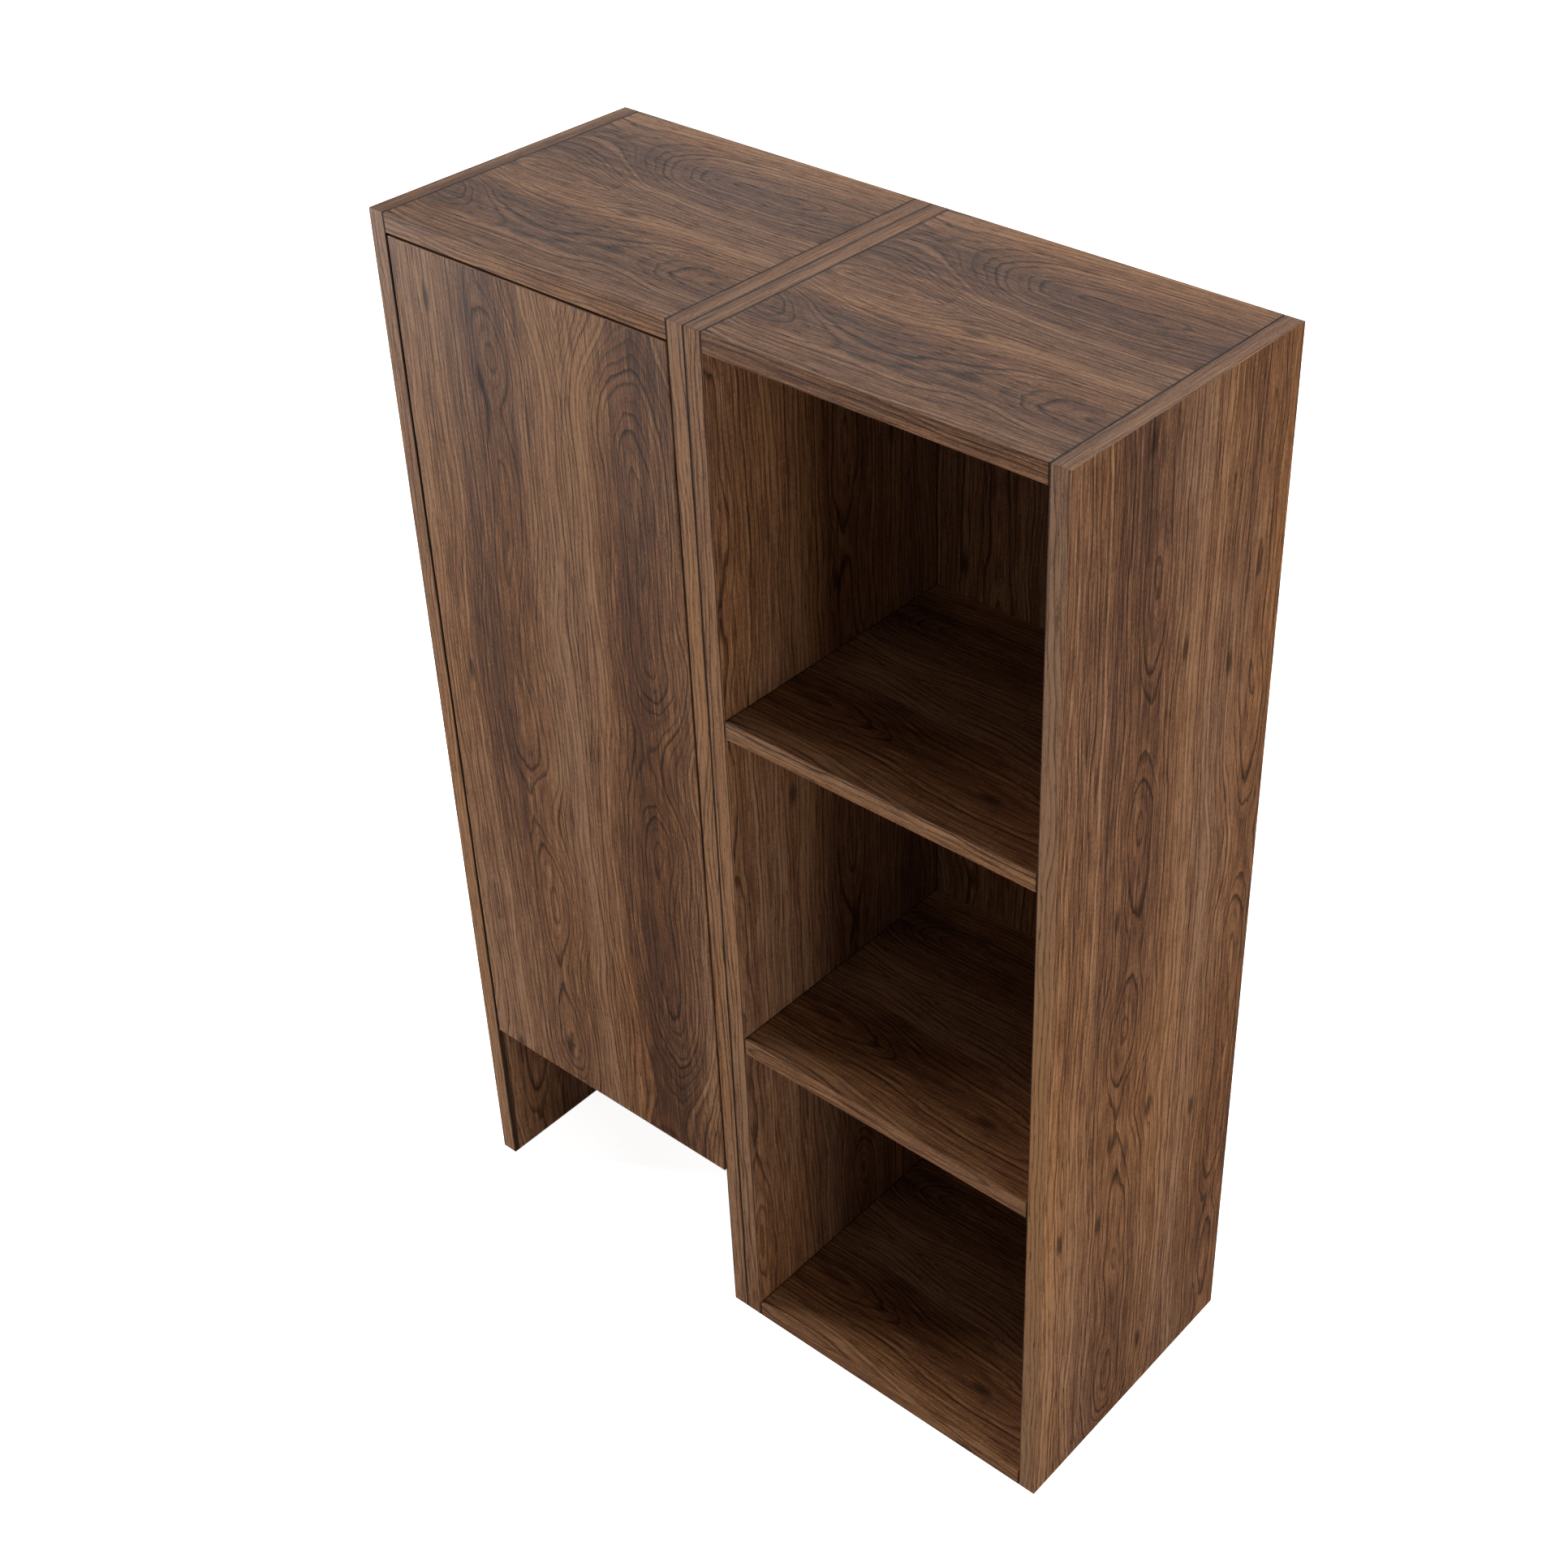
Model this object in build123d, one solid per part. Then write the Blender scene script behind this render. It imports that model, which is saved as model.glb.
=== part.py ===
from build123d import *
import math
import os

# Cube storage unit: two narrow cabinets that stand side by side on the floor.
# The left one is closed by an inset door above an open toe space, the right one holds three open cubes.
# Millimetres, +Z up, +X to the right seen from the front, front at -Y, origin on the floor at the middle.

# Driving dimensions
CABINET_WIDTH = 366.0
HEIGHT = 1100.0
DEPTH = 304.0
BOARD = 18.0
EDGING = 1.0
DOOR_GAP = 2.0
TOE_SPACE = 182.0
BOTTOM_SETBACK = 29.0
BACK = 6.0
BACK_INSET = 12.0
GROOVE_DEPTH = 6.0
ARRIS = 0.7
DOOR_ARRIS = 0.9
FIT_GAP = 0.1
END_GAP = 0.15
PILOT_GAP = 0.05

# Places that follow from them
LEFT = -CABINET_WIDTH
RIGHT = CABINET_WIDTH
FRONT = -DEPTH / 2
REAR = DEPTH / 2
BACK_REAR = REAR - BACK_INSET
BACK_FRONT = BACK_REAR - BACK
CUBE = (HEIGHT - 4 * BOARD) / 3

# Cam fittings: a cam under the end of each horizontal board holds the head of a bolt in the side
CAM_RADIUS = 7.5
CAM_DEPTH = 13.0
CAM_REACH = 34.0
CAM_INSET = 50.0
BOLT_THREAD = 11.0
BOLT_THREAD_RADIUS = 2.5
BOLT_HOLE_RADIUS = 4.0
BOLT_SHANK = 24.0
BOLT_SHANK_RADIUS = 3.5
BOLT_NECK = 6.0
BOLT_NECK_RADIUS = 1.6
BOLT_HEAD = 5.0
BOLT_HEAD_RADIUS = 3.0
DOWEL_RADIUS = 4.0
DOWEL_LENGTH = 30.0
DOWEL_IN_SIDE = 10.0
DOWEL_INSET = 85.0

# Adjustable shelves on pins in rows of holes
SHELF_HEIGHTS = {"lower": 482.0, "upper": 782.0}
SHELF_SETBACK = 32.0
SHELF_END_GAP = 1.3
SHELF_PIN_RADIUS = 2.5
SHELF_PIN_IN_SIDE = 9.0
SHELF_PIN_OUT = 8.0
SHELF_COLLAR_RADIUS = 4.0
SHELF_COLLAR = 1.0
HOLE_PITCH = 32.0
HOLE_INSET = 60.0

# Concealed hinges: a cup in the door turns on a pin held by a hooked arm on the side
HINGE_HEIGHTS = {"lower": TOE_SPACE + 110.0, "upper": HEIGHT - 130.0}
PIVOT_X = LEFT + 36.0
PIVOT_Y = FRONT + 8.0
PIVOT_RADIUS = 1.25
PIVOT_RUNNING_GAP = 0.05
PIVOT_HALF = 11.5
CUP_X = LEFT + BOARD + DOOR_GAP + 20.5
CUP_RADIUS = 17.5
CUP_DEPTH = 13.8
CUP_SLOT_LEFT = PIVOT_X - 11.0
CUP_SLOT_RIGHT = PIVOT_X + 20.2
CUP_SLOT_HALF = 6.0
CUP_SLOT_FLOOR = PIVOT_Y - 2.9
CUP_FLANGE = 1.2
CUP_FLANGE_HALF = 30.0
CUP_SCREW_HALF = 24.0
CUP_SCREW_X = CUP_X + 5.5
EYE_RADIUS = 2.5
ARM_THICKNESS = 1.8
ARM_HALF = 5.5
ARM_ENTRY_ANGLE = 33.0
ARM_CROOK = 23.0
ARM_BEND = 2.5
ARM_CROSS = 22.0
ARM_END = 66.0
PLATE_BASE = 2.0
PLATE_RAIL = 5.0
PLATE_HALF = 26.0
PLATE_SCREW_HALF = 16.0

# Push-to-open latch under the top board
LATCH_X = -BOARD - 62.0
LATCH_Z = HEIGHT - BOARD - 8.0
LATCH_FRONT = FRONT + BOARD + 6.0
LATCH_LENGTH = 60.0
LATCH_HALF = 8.0
PLUNGER_RADIUS = 4.0
PLUNGER_LENGTH = 42.0
MAGNET_LENGTH = 2.0
STRIKE = 1.5
STRIKE_GAP = 0.3

# Screws that join the two cabinets
JOIN_HEIGHTS = (TOE_SPACE + 70.0, HEIGHT - 70.0)
JOIN_INSET = 60.0
JOIN_LENGTH = 30.0
JOIN_RADIUS = 2.0


def block(x0, x1, y0, y1, z0, z1):
    """A plain box between two corners."""
    return Pos((x0 + x1) / 2, (y0 + y1) / 2, (z0 + z1) / 2) * Box(x1 - x0, y1 - y0, z1 - z0)


def eased(x0, x1, y0, y1, z0, z1, arris=ARRIS):
    """A board with its sharp edges eased."""
    return fillet(block(x0, x1, y0, y1, z0, z1).edges(), arris)


def rod(direction, start, radius, length):
    """A round rod that starts at a point and runs along a direction."""
    place = Plane(origin=start, z_dir=direction)
    return place * Cylinder(radius, length, align=(Align.CENTER, Align.CENTER, Align.MIN))


def screw(direction, start, radius, length, head_radius, head_height):
    """A cross-slot screw: the underside of its head is at start, its shank runs along direction."""
    place = Plane(origin=start, z_dir=direction)
    shank = Cylinder(radius, length, align=(Align.CENTER, Align.CENTER, Align.MIN))
    shank = chamfer(shank.edges().sort_by(Axis.Z)[-1], radius * 0.7)
    head = Cylinder(head_radius, head_height, align=(Align.CENTER, Align.CENTER, Align.MAX))
    head = fillet(head.edges().sort_by(Axis.Z)[0], head_height * 0.6)
    slot_top = Pos(0, 0, -head_height * 0.45)
    slot_align = (Align.CENTER, Align.CENTER, Align.MAX)
    cross = slot_top * Box(head_radius * 1.1, 0.9, head_height, align=slot_align)
    cross += slot_top * Box(0.9, head_radius * 1.1, head_height, align=slot_align)
    return place * (shank + head - cross)


def split_edging(full, thickness=EDGING):
    """Parts a board into its glued front strip and the core behind it."""
    front = block(LEFT - 1, RIGHT + 1, FRONT - 1, FRONT + thickness, -1, HEIGHT + 1)
    return full & front, full - front


def back_groove(x0, x1, z0, z1):
    """The slot that takes the edge of a back panel."""
    return block(x0, x1, BACK_FRONT - FIT_GAP, BACK_REAR + FIT_GAP, z0, z1)


def cam_joint(face_x, outward, y, board_bottom):
    """One cam fitting: the holes in the board's end and in the side, the cam and its bolt."""
    axis_z = board_bottom + BOARD / 2
    inward = (-outward, 0, 0)
    cam_x = face_x - outward * CAM_REACH
    pocket = rod((0, 0, 1), (cam_x, y, board_bottom - 1), CAM_RADIUS, CAM_DEPTH + 1)
    board_cut = pocket + rod(inward, (face_x + outward, y, axis_z), BOLT_HOLE_RADIUS, CAM_REACH + 1)
    side_cut = rod((outward, 0, 0), (face_x - outward, y, axis_z), BOLT_THREAD_RADIUS, BOLT_THREAD + 1.5)

    cam = rod((0, 0, 1), (cam_x, y, board_bottom + 0.3), CAM_RADIUS - 0.2, CAM_DEPTH - 0.6)
    rim_x = face_x - outward * (CAM_REACH - CAM_RADIUS - 1)
    slot_x = sorted((cam_x - outward * 4.5, rim_x))
    cam -= block(slot_x[0], slot_x[1], y - 3.6, y + 3.6, board_bottom + 5.0, board_bottom + CAM_DEPTH + 1)
    for half_x, half_y in ((3.0, 0.6), (0.6, 3.0)):
        cam -= block(cam_x - half_x, cam_x + half_x, y - half_y, y + half_y, board_bottom, board_bottom + 2.5)

    bolt = rod((outward, 0, 0), (face_x, y, axis_z), BOLT_THREAD_RADIUS - PILOT_GAP, BOLT_THREAD)
    bolt += rod(inward, (face_x, y, axis_z), BOLT_SHANK_RADIUS, BOLT_SHANK)
    bolt += rod(inward, (face_x - outward * BOLT_SHANK, y, axis_z), BOLT_NECK_RADIUS, BOLT_NECK)
    head_x = face_x - outward * (BOLT_SHANK + BOLT_NECK)
    bolt += rod(inward, (head_x, y, axis_z), BOLT_HEAD_RADIUS, BOLT_HEAD)
    return board_cut, side_cut, cam, bolt


def dowel_joint(face_x, outward, y, board_bottom):
    """One wooden dowel and its two blind holes."""
    axis_z = board_bottom + BOARD / 2
    start = face_x - outward * (DOWEL_LENGTH - DOWEL_IN_SIDE)
    hole_start = start - outward * 0.5
    hole = rod((outward, 0, 0), (hole_start, y, axis_z), DOWEL_RADIUS, DOWEL_LENGTH + 1)
    pin = rod((outward, 0, 0), (start, y, axis_z), DOWEL_RADIUS - PILOT_GAP, DOWEL_LENGTH)
    return hole, chamfer(pin.edges().filter_by(GeomType.CIRCLE), 0.8)


def carcass(prefix, left, shelves, back_bottom, board_front):
    """Sides, fixed boards and back of one cabinet, with their fittings."""
    right = left + CABINET_WIDTH
    inner_left = left + BOARD
    inner_right = right - BOARD
    sides = {"left": eased(left, inner_left, FRONT, REAR, 0, HEIGHT)}
    sides["right"] = eased(inner_right, right, FRONT, REAR, 0, HEIGHT)
    groove_z = (back_bottom - GROOVE_DEPTH, HEIGHT - BOARD + GROOVE_DEPTH)
    sides["left"] -= back_groove(inner_left - GROOVE_DEPTH, inner_left + 1, *groove_z)
    sides["right"] -= back_groove(inner_right - 1, inner_right + GROOVE_DEPTH, *groove_z)

    cams, bolts, dowels, boards = [], [], [], {}
    for name, bottom in shelves.items():
        front = board_front[name]
        rear = BACK_FRONT if "shelf" in name else REAR
        body = eased(inner_left + END_GAP, inner_right - END_GAP, front, rear, bottom, bottom + BOARD)
        if name == "top":
            body -= back_groove(inner_left - 1, inner_right + 1, bottom - 1, bottom + GROOVE_DEPTH)
        if name == "bottom":
            z = bottom + BOARD
            body -= back_groove(inner_left - 1, inner_right + 1, z - GROOVE_DEPTH, z + 1)
        for face_x, outward, side in ((inner_left, -1, "left"), (inner_right, 1, "right")):
            for y in (FRONT + CAM_INSET, REAR - CAM_INSET - BACK_INSET):
                board_cut, side_cut, cam, bolt = cam_joint(face_x, outward, y, bottom)
                body -= board_cut
                sides[side] -= side_cut
                cams.append(cam)
                bolts.append(bolt)
            for y in (FRONT + DOWEL_INSET, REAR - DOWEL_INSET - BACK_INSET):
                hole, pin = dowel_joint(face_x, outward, y, bottom)
                body -= hole
                sides[side] -= hole
                dowels.append(pin)
        boards[name] = body

    nodes = {}
    nodes[prefix + "_back"] = block(
        inner_left - GROOVE_DEPTH + FIT_GAP,
        inner_right + GROOVE_DEPTH - FIT_GAP,
        BACK_FRONT,
        BACK_REAR,
        back_bottom - GROOVE_DEPTH + FIT_GAP,
        HEIGHT - BOARD + GROOVE_DEPTH - FIT_GAP,
    )
    upright_strips, cross_strips = [], []
    for side, body in sides.items():
        strip, core = split_edging(body)
        nodes[f"{prefix}_{side}_side"] = core
        upright_strips.append(strip)
    for name, body in boards.items():
        if board_front[name] == FRONT:
            strip, body = split_edging(body)
            cross_strips.append(strip)
        nodes[f"{prefix}_{name}"] = body
    nodes[prefix + "_upright_edging"] = upright_strips
    nodes[prefix + "_cross_edging"] = cross_strips
    nodes[prefix + "_cam_locks"] = cams
    nodes[prefix + "_cam_bolts"] = bolts
    nodes[prefix + "_dowels"] = dowels
    return nodes


def adjustable_shelves(nodes):
    """Two loose shelves behind the door, their pins, and the rows of pin holes in the sides."""
    inner_left = LEFT + BOARD
    inner_right = -BOARD
    pins = []
    for name, bottom in SHELF_HEIGHTS.items():
        x0, x1 = inner_left + SHELF_END_GAP, inner_right - SHELF_END_GAP
        nodes[f"door_cabinet_{name}_shelf"] = eased(
            x0, x1, FRONT + SHELF_SETBACK, BACK_FRONT - 1, bottom, bottom + BOARD
        )
        pin_z = bottom - SHELF_PIN_RADIUS
        for face_x, outward, side in ((inner_left, -1, "left"), (inner_right, 1, "right")):
            side_node = f"door_cabinet_{side}_side"
            for y in (FRONT + HOLE_INSET, REAR - HOLE_INSET):
                for step in (-1, 0, 1):
                    start = (face_x - outward, y, pin_z + step * HOLE_PITCH)
                    nodes[side_node] -= rod(
                        (outward, 0, 0), start, SHELF_PIN_RADIUS, SHELF_PIN_IN_SIDE + 2
                    )
                peg_start = (face_x - outward * SHELF_PIN_OUT, y, pin_z)
                peg = rod(
                    (outward, 0, 0),
                    peg_start,
                    SHELF_PIN_RADIUS - PILOT_GAP,
                    SHELF_PIN_OUT + SHELF_PIN_IN_SIDE,
                )
                collar_start = (face_x - outward * SHELF_COLLAR, y, pin_z)
                peg += rod((outward, 0, 0), collar_start, SHELF_COLLAR_RADIUS, SHELF_COLLAR)
                pins.append(peg)
    nodes["door_cabinet_shelf_pins"] = pins


def door(nodes):
    """The inset door: a core with a glued strip on each edge."""
    x0, x1 = LEFT + BOARD + DOOR_GAP, -BOARD - DOOR_GAP
    z0, z1 = TOE_SPACE, HEIGHT - BOARD - DOOR_GAP
    full = eased(x0, x1, FRONT, FRONT + BOARD, z0, z1, DOOR_ARRIS)
    y0, y1 = FRONT - 1, FRONT + BOARD + 1
    inner = block(x0 + EDGING, x1 - EDGING, y0, y1, z0 + EDGING, z1 - EDGING)
    left_strip = block(x0 - 1, x0 + EDGING, y0, y1, z0 - 1, z1 + 1)
    right_strip = block(x1 - EDGING, x1 + 1, y0, y1, z0 - 1, z1 + 1)
    low_strip = block(x0 + EDGING, x1 - EDGING, y0, y1, z0 - 1, z0 + EDGING)
    high_strip = block(x0 + EDGING, x1 - EDGING, y0, y1, z1 - EDGING, z1 + 1)
    nodes["door_panel"] = full & inner
    nodes["door_upright_edging"] = [full & left_strip, full & right_strip]
    nodes["door_cross_edging"] = [full & low_strip, full & high_strip]


def hinge(nodes, name, z):
    """One concealed hinge with its cup, pin, arm and mounting plate, and the holes it needs."""
    door_back = FRONT + BOARD
    side_face = LEFT + BOARD
    nodes["door_panel"] -= rod((0, -1, 0), (CUP_X, door_back + 1, z), CUP_RADIUS, CUP_DEPTH + 1.2)

    cup = rod((0, -1, 0), (CUP_X, door_back, z), CUP_RADIUS - PILOT_GAP, CUP_DEPTH)
    flange_z = (z - CUP_FLANGE_HALF, z + CUP_FLANGE_HALF)
    flange = block(CUP_X - 18.0, CUP_X + 18.0, door_back, door_back + CUP_FLANGE, *flange_z)
    cup += fillet(flange.edges().filter_by(Axis.Y), 7.0)
    cup -= block(
        CUP_SLOT_LEFT, CUP_SLOT_RIGHT, CUP_SLOT_FLOOR, door_back + 2, z - CUP_SLOT_HALF, z + CUP_SLOT_HALF
    )
    cup -= rod((0, 0, 1), (PIVOT_X, PIVOT_Y, z - PIVOT_HALF - 0.2), PIVOT_RADIUS, 2 * PIVOT_HALF + 0.4)
    pin = rod((0, 0, 1), (PIVOT_X, PIVOT_Y, z - PIVOT_HALF), PIVOT_RADIUS - 0.01, 2 * PIVOT_HALF)

    cup_screws = []
    for dz in (-CUP_SCREW_HALF, CUP_SCREW_HALF):
        start = (CUP_SCREW_X, door_back + CUP_FLANGE, z + dz)
        hole = rod((0, -1, 0), start, 1.6, 12.6)
        cup -= hole
        nodes["door_panel"] -= hole
        cup_screws.append(screw((0, -1, 0), start, 1.6 - PILOT_GAP, 12.0, 3.2, 1.6))

    entry = math.radians(ARM_ENTRY_ANGLE)
    rail_top = side_face + PLATE_RAIL
    arm_x = rail_top + ARM_THICKNESS / 2
    centre_line = FilletPolyline(
        (PIVOT_X + 1.5 * math.cos(entry), PIVOT_Y + 1.5 * math.sin(entry)),
        (PIVOT_X + ARM_CROOK * math.cos(entry), PIVOT_Y + ARM_CROOK * math.sin(entry)),
        (PIVOT_X + 9.5, PIVOT_Y + ARM_CROSS),
        (arm_x, PIVOT_Y + ARM_CROSS),
        (arm_x, PIVOT_Y + ARM_END),
        radius=ARM_BEND,
    )
    arm = extrude(Pos(0, 0, z - ARM_HALF) * trace(centre_line, ARM_THICKNESS), 2 * ARM_HALF)
    arm += rod((0, 0, 1), (PIVOT_X, PIVOT_Y, z - ARM_HALF), EYE_RADIUS, 2 * ARM_HALF)
    bore = PIVOT_RADIUS - 0.01 + PIVOT_RUNNING_GAP
    arm -= rod((0, 0, 1), (PIVOT_X, PIVOT_Y, z - ARM_HALF - 1), bore, 2 * ARM_HALF + 2)

    base = block(
        side_face, side_face + PLATE_BASE, PIVOT_Y + 38, PIVOT_Y + 58, z - PLATE_HALF, z + PLATE_HALF
    )
    plate = fillet(base.edges().filter_by(Axis.X), 6.0)
    rail = block(side_face, rail_top, PIVOT_Y + 29, PIVOT_Y + 70, z - ARM_HALF - 1.5, z + ARM_HALF + 1.5)
    plate += fillet(rail.edges().filter_by(Axis.X), 2.0)
    plate_screws, arm_screws = [], []
    for dz in (-PLATE_SCREW_HALF, PLATE_SCREW_HALF):
        start = (side_face + PLATE_BASE, PIVOT_Y + 48, z + dz)
        hole = rod((-1, 0, 0), start, 2.0, 13.6)
        plate -= hole
        nodes["door_cabinet_left_side"] -= hole
        plate_screws.append(screw((-1, 0, 0), start, 2.0 - PILOT_GAP, 13.0, 3.8, 2.2))
    for dy in (36.0, 61.0):
        start = (rail_top + ARM_THICKNESS, PIVOT_Y + dy, z)
        hole = rod((-1, 0, 0), start, 2.2, 6.6)
        arm -= hole
        plate -= hole
        arm_screws.append(screw((-1, 0, 0), start, 2.2 - PILOT_GAP, 6.0, 3.8, 2.0))

    nodes[f"{name}_hinge_cup"] = cup
    nodes[f"{name}_hinge_pin"] = pin
    nodes[f"{name}_hinge_arm"] = arm
    nodes[f"{name}_hinge_plate"] = plate
    nodes.setdefault("hinge_cup_screws", []).extend(cup_screws)
    nodes.setdefault("hinge_plate_screws", []).extend(plate_screws)
    nodes.setdefault("hinge_arm_screws", []).extend(arm_screws)


def latch(nodes):
    """The push-to-open latch: housing, sprung plunger with a magnet, strike plate and screws."""
    top_face = HEIGHT - BOARD
    rear = LATCH_FRONT + LATCH_LENGTH
    low_face = top_face - 2 * LATCH_HALF
    body = block(LATCH_X - LATCH_HALF, LATCH_X + LATCH_HALF, LATCH_FRONT, rear, low_face, top_face)
    body = fillet(body.edges().filter_by(Axis.Y).group_by(Axis.Z)[0], 5.0)
    ear_y = (LATCH_FRONT + rear) / 2
    ears = block(LATCH_X - 19, LATCH_X + 19, ear_y - 8, ear_y + 8, top_face - 3, top_face)
    body += fillet(ears.edges().filter_by(Axis.Z), 4.0)
    strike_face = FRONT + BOARD + STRIKE
    magnet_face = strike_face + STRIKE_GAP
    plunger_front = magnet_face + MAGNET_LENGTH
    bore_length = plunger_front + PLUNGER_LENGTH + 1 - LATCH_FRONT
    bore_start = (LATCH_X, LATCH_FRONT - 1, LATCH_Z)
    body -= rod((0, 1, 0), bore_start, PLUNGER_RADIUS + PILOT_GAP, bore_length + 1)
    plunger = rod((0, 1, 0), (LATCH_X, plunger_front, LATCH_Z), PLUNGER_RADIUS, PLUNGER_LENGTH)
    magnet = rod((0, 1, 0), (LATCH_X, magnet_face, LATCH_Z), PLUNGER_RADIUS - 0.6, MAGNET_LENGTH)
    strike = block(
        LATCH_X - 7, LATCH_X + 7, strike_face - STRIKE, strike_face, LATCH_Z - 14, LATCH_Z + 5.5
    )
    strike = fillet(strike.edges().filter_by(Axis.Y), 3.0)

    screws = []
    for dx in (-14.0, 14.0):
        start = (LATCH_X + dx, ear_y, top_face - 3)
        hole = rod((0, 0, 1), start, 1.6, 14.6)
        body -= hole
        nodes["door_cabinet_top"] -= hole
        screws.append(screw((0, 0, 1), start, 1.6 - PILOT_GAP, 14.0, 3.0, 1.6))
    start = (LATCH_X, strike_face, LATCH_Z - 9.5)
    hole = rod((0, -1, 0), start, 1.5, 11.6)
    strike -= hole
    nodes["door_panel"] -= hole
    nodes["latch_housing"] = body
    nodes["latch_plunger"] = fillet(plunger.edges().filter_by(GeomType.CIRCLE), 0.5)
    nodes["latch_magnet"] = magnet
    nodes["latch_strike_plate"] = strike
    nodes["latch_housing_screws"] = screws
    nodes["latch_strike_screw"] = screw((0, -1, 0), start, 1.5 - PILOT_GAP, 11.0, 2.6, 1.2)


def joining_screws(nodes):
    """Screws from inside the door cabinet into the side of the open one."""
    screws = []
    for z in JOIN_HEIGHTS:
        for y in (FRONT + JOIN_INSET, REAR - JOIN_INSET):
            start = (-BOARD, y, z)
            hole = rod((1, 0, 0), start, JOIN_RADIUS, JOIN_LENGTH + 0.6)
            nodes["door_cabinet_right_side"] -= hole
            nodes["cube_unit_left_side"] -= hole
            screws.append(screw((1, 0, 0), start, JOIN_RADIUS - PILOT_GAP, JOIN_LENGTH, 4.5, 2.6))
    nodes["cabinet_joining_screws"] = screws


nodes = carcass(
    "door_cabinet",
    LEFT,
    {"bottom": TOE_SPACE, "top": HEIGHT - BOARD},
    TOE_SPACE + BOARD,
    {"bottom": FRONT + BOTTOM_SETBACK, "top": FRONT},
)
nodes.update(
    carcass(
        "cube_unit",
        0.0,
        {
            "bottom": 0.0,
            "lower_shelf": BOARD + CUBE,
            "upper_shelf": 2 * (BOARD + CUBE),
            "top": HEIGHT - BOARD,
        },
        BOARD,
        dict.fromkeys(("bottom", "lower_shelf", "upper_shelf", "top"), FRONT),
    )
)
adjustable_shelves(nodes)
door(nodes)
for hinge_name, hinge_z in HINGE_HEIGHTS.items():
    hinge(nodes, hinge_name, hinge_z)
latch(nodes)
joining_screws(nodes)

os.makedirs("parts", exist_ok=True)
for node_name, shape in nodes.items():
    solids = shape if isinstance(shape, list) else shape.solids()
    solids = [solid for piece in solids for solid in piece.solids()]
    whole = solids[0] if len(solids) == 1 else Compound(children=solids)
    export_step(whole, f"parts/{node_name}.step")
print(len(nodes), "nodes")
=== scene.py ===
import math

import bpy
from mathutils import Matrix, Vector


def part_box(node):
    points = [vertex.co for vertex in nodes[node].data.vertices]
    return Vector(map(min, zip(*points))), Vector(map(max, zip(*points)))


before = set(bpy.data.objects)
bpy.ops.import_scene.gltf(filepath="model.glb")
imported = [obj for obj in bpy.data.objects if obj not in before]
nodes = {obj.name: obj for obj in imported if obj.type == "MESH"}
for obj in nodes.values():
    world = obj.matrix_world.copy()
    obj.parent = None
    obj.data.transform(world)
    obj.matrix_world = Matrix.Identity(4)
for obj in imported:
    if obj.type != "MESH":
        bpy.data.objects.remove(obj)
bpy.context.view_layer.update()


# The viewer stands a little to the right of the unit and looks down on it, as someone does who
# walks up to it. The frame is cropped off the lens centre, which the two shifts stand for.
VIEW_PLACE = (1.1769, -1.3055, 1.8749)
VIEW_AZIMUTH = math.radians(38.808)
VIEW_ELEVATION = math.radians(34.445)
LENS_LENGTH = 53.90
SENSOR_WIDTH = 36.0
SHIFT_RIGHT = -0.0979
SHIFT_UP = -0.0527
FARTHEST_SEEN = 50.0

camera_data = bpy.data.cameras.new("viewer")
camera_data.sensor_width = SENSOR_WIDTH
camera_data.lens = LENS_LENGTH
camera_data.shift_x = SHIFT_RIGHT
camera_data.shift_y = SHIFT_UP
camera_data.clip_end = FARTHEST_SEEN
camera = bpy.data.objects.new("viewer", camera_data)
camera.location = VIEW_PLACE
camera.rotation_euler = (math.pi / 2 - VIEW_ELEVATION, 0.0, VIEW_AZIMUTH)
bpy.context.collection.objects.link(camera)
bpy.context.scene.camera = camera


# The studio: a pale seamless floor in a pale room, with large soft boxes. Most of the light comes
# from the two sides and from above, and little from straight in front, so that the cubes stay dark.
LAMP_TARGET = Vector((0.0, 0.0, 0.55))


def soft_box(name, place, width, height, power, tint=(1.0, 1.0, 1.0)):
    """A rectangular soft lamp that faces the middle of the unit."""
    data = bpy.data.lights.new(name, "AREA")
    data.shape = "RECTANGLE"
    data.size = width
    data.size_y = height
    data.energy = power
    data.color = tint
    lamp = bpy.data.objects.new(name, data)
    lamp.location = place
    lamp.rotation_euler = (LAMP_TARGET - Vector(place)).to_track_quat("-Z", "Y").to_euler()
    bpy.context.collection.objects.link(lamp)


soft_box("back_right", (0.3, 1.8, 3.2), 2.2, 1.8, 82, tint=(0.96, 0.97, 1.0))
soft_box("back_left", (-3.9, 3.7, 3.3), 2.6, 2.0, 38)
soft_box("left_front", (-3.35, -1.1, 0.9), 1.6, 1.2, 206)
soft_box("front_high", (0.0, -3.2, 3.0), 1.6, 1.6, 8)
soft_box("right_side", (3.2, -0.5, 0.9), 1.6, 1.2, 68)
soft_box("right_front", (2.4, -2.4, 1.2), 1.4, 1.4, 4)


def add_node(tree, kind, inputs=None, **settings):
    """A shader node with its settings made and its inputs linked or filled in."""
    node = tree.nodes.new(kind)
    for name, value in settings.items():
        setattr(node, name, value)
    for name, value in (inputs or {}).items():
        if isinstance(value, bpy.types.NodeSocket):
            tree.links.new(value, node.inputs[name])
        else:
            node.inputs[name].default_value = value
    return node


def maths(tree, operation, a, b=0.0, c=0.0):
    """The result socket of one Math node."""
    return add_node(tree, "ShaderNodeMath", {0: a, 1: b, 2: c}, operation=operation).outputs[0]


def new_material(name):
    """A material with its node tree and its shader."""
    material = bpy.data.materials.new(name)
    material.use_nodes = True
    return material, material.node_tree, material.node_tree.nodes["Principled BSDF"]


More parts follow.
